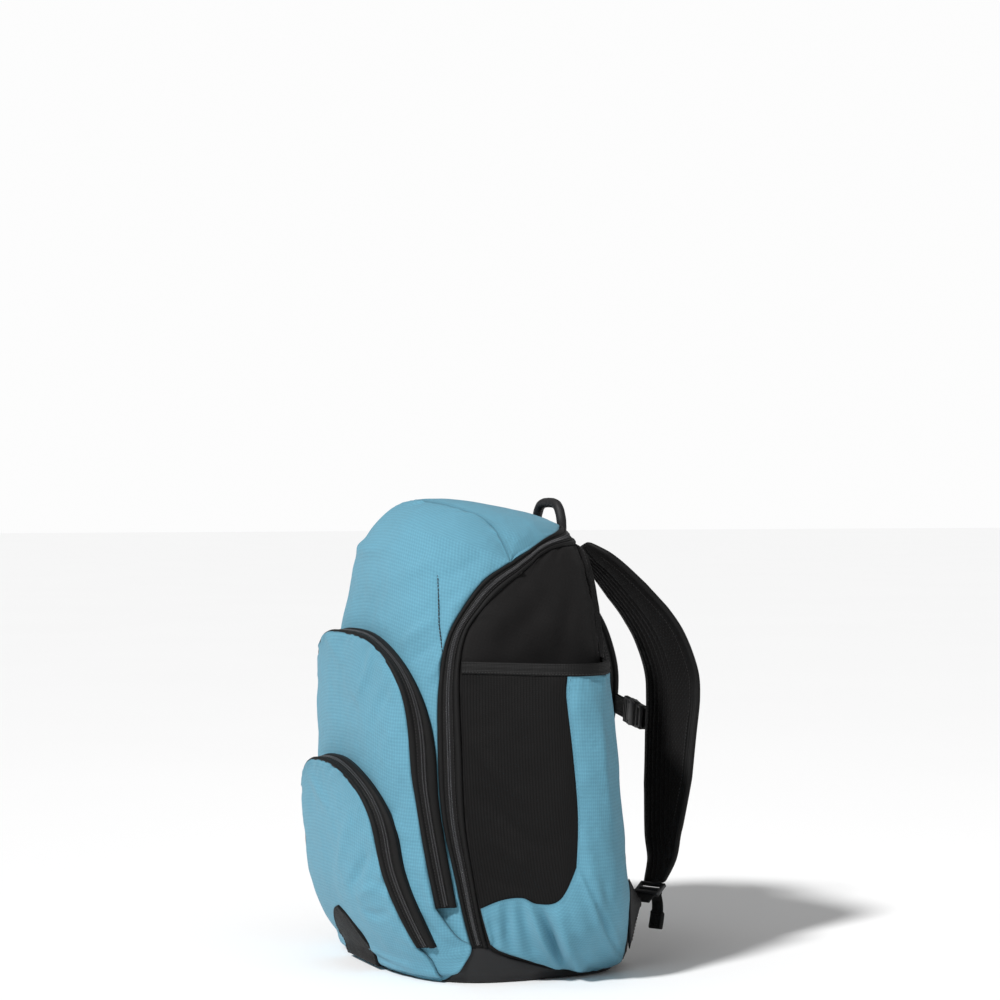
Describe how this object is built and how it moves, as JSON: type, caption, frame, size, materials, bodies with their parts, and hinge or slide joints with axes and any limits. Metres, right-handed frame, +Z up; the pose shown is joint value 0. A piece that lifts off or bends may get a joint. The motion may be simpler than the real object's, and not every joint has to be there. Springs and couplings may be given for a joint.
{
  "type": "baseball bat backpack",
  "caption": "Upright sports backpack with a domed front, arched front pockets, an open bat sleeve on each side, a rope handle and padded shoulder straps joined by a chest strap.",
  "frame": {"origin": "middle of the flat underside, below the bag's widest line", "axes": "+Z up, -Y the front with the pockets, +Y the wearer's side with the straps, +X the near side of the picture"},
  "size_m": [0.4168, 0.3469, 0.437],
  "materials": {
    "blue_cloth": "matte woven polyester",
    "black_cloth": "matte woven polyester",
    "coated_cloth": "coated heavy cloth with a slight sheen",
    "black_mesh": "knitted mesh",
    "zip_tape": "woven tape with a moulded coil",
    "webbing": "ribbed webbing",
    "plastic": "moulded black plastic",
    "metal": "black lacquered metal"
  },
  "bodies": {
    "root": {"base_panel": "coated_cloth", "front_panel": "blue_cloth", "top_panel": "blue_cloth", "side_panel_near": "black_cloth", "side_panel_far": "black_cloth", "back_panel": "black_mesh", "main_zip": "zip_tape", "upper_pocket": "blue_cloth", "upper_pocket_zip": "zip_tape", "lower_pocket": "blue_cloth", "lower_pocket_zip": "zip_tape", "front_scuff_patch": "coated_cloth", "sleeve_mesh_near": "black_mesh", "sleeve_mesh_far": "black_mesh", "sleeve_panel_near": "blue_cloth", "sleeve_panel_far": "blue_cloth", "sleeve_binding_near": "webbing", "sleeve_binding_far": "webbing", "shoulder_strap_near": "black_mesh", "shoulder_strap_far": "black_mesh", "strap_adjuster_near": "plastic", "strap_adjuster_far": "plastic", "strap_webbing_near": "webbing", "strap_webbing_far": "webbing", "strap_tail_near": "webbing", "strap_tail_far": "webbing", "strap_wing_near": "coated_cloth", "strap_wing_far": "coated_cloth", "sternum_webbing_far": "webbing", "sternum_adjuster": "plastic", "sternum_buckle_socket": "plastic", "sternum_buckle_plug": "plastic", "sternum_webbing_near": "webbing", "main_zip_slider_upper": "metal", "main_zip_slider_lower": "metal", "upper_pocket_slider": "metal", "lower_pocket_slider": "metal", "haul_loop": "webbing"}
  },
  "joints": []
}
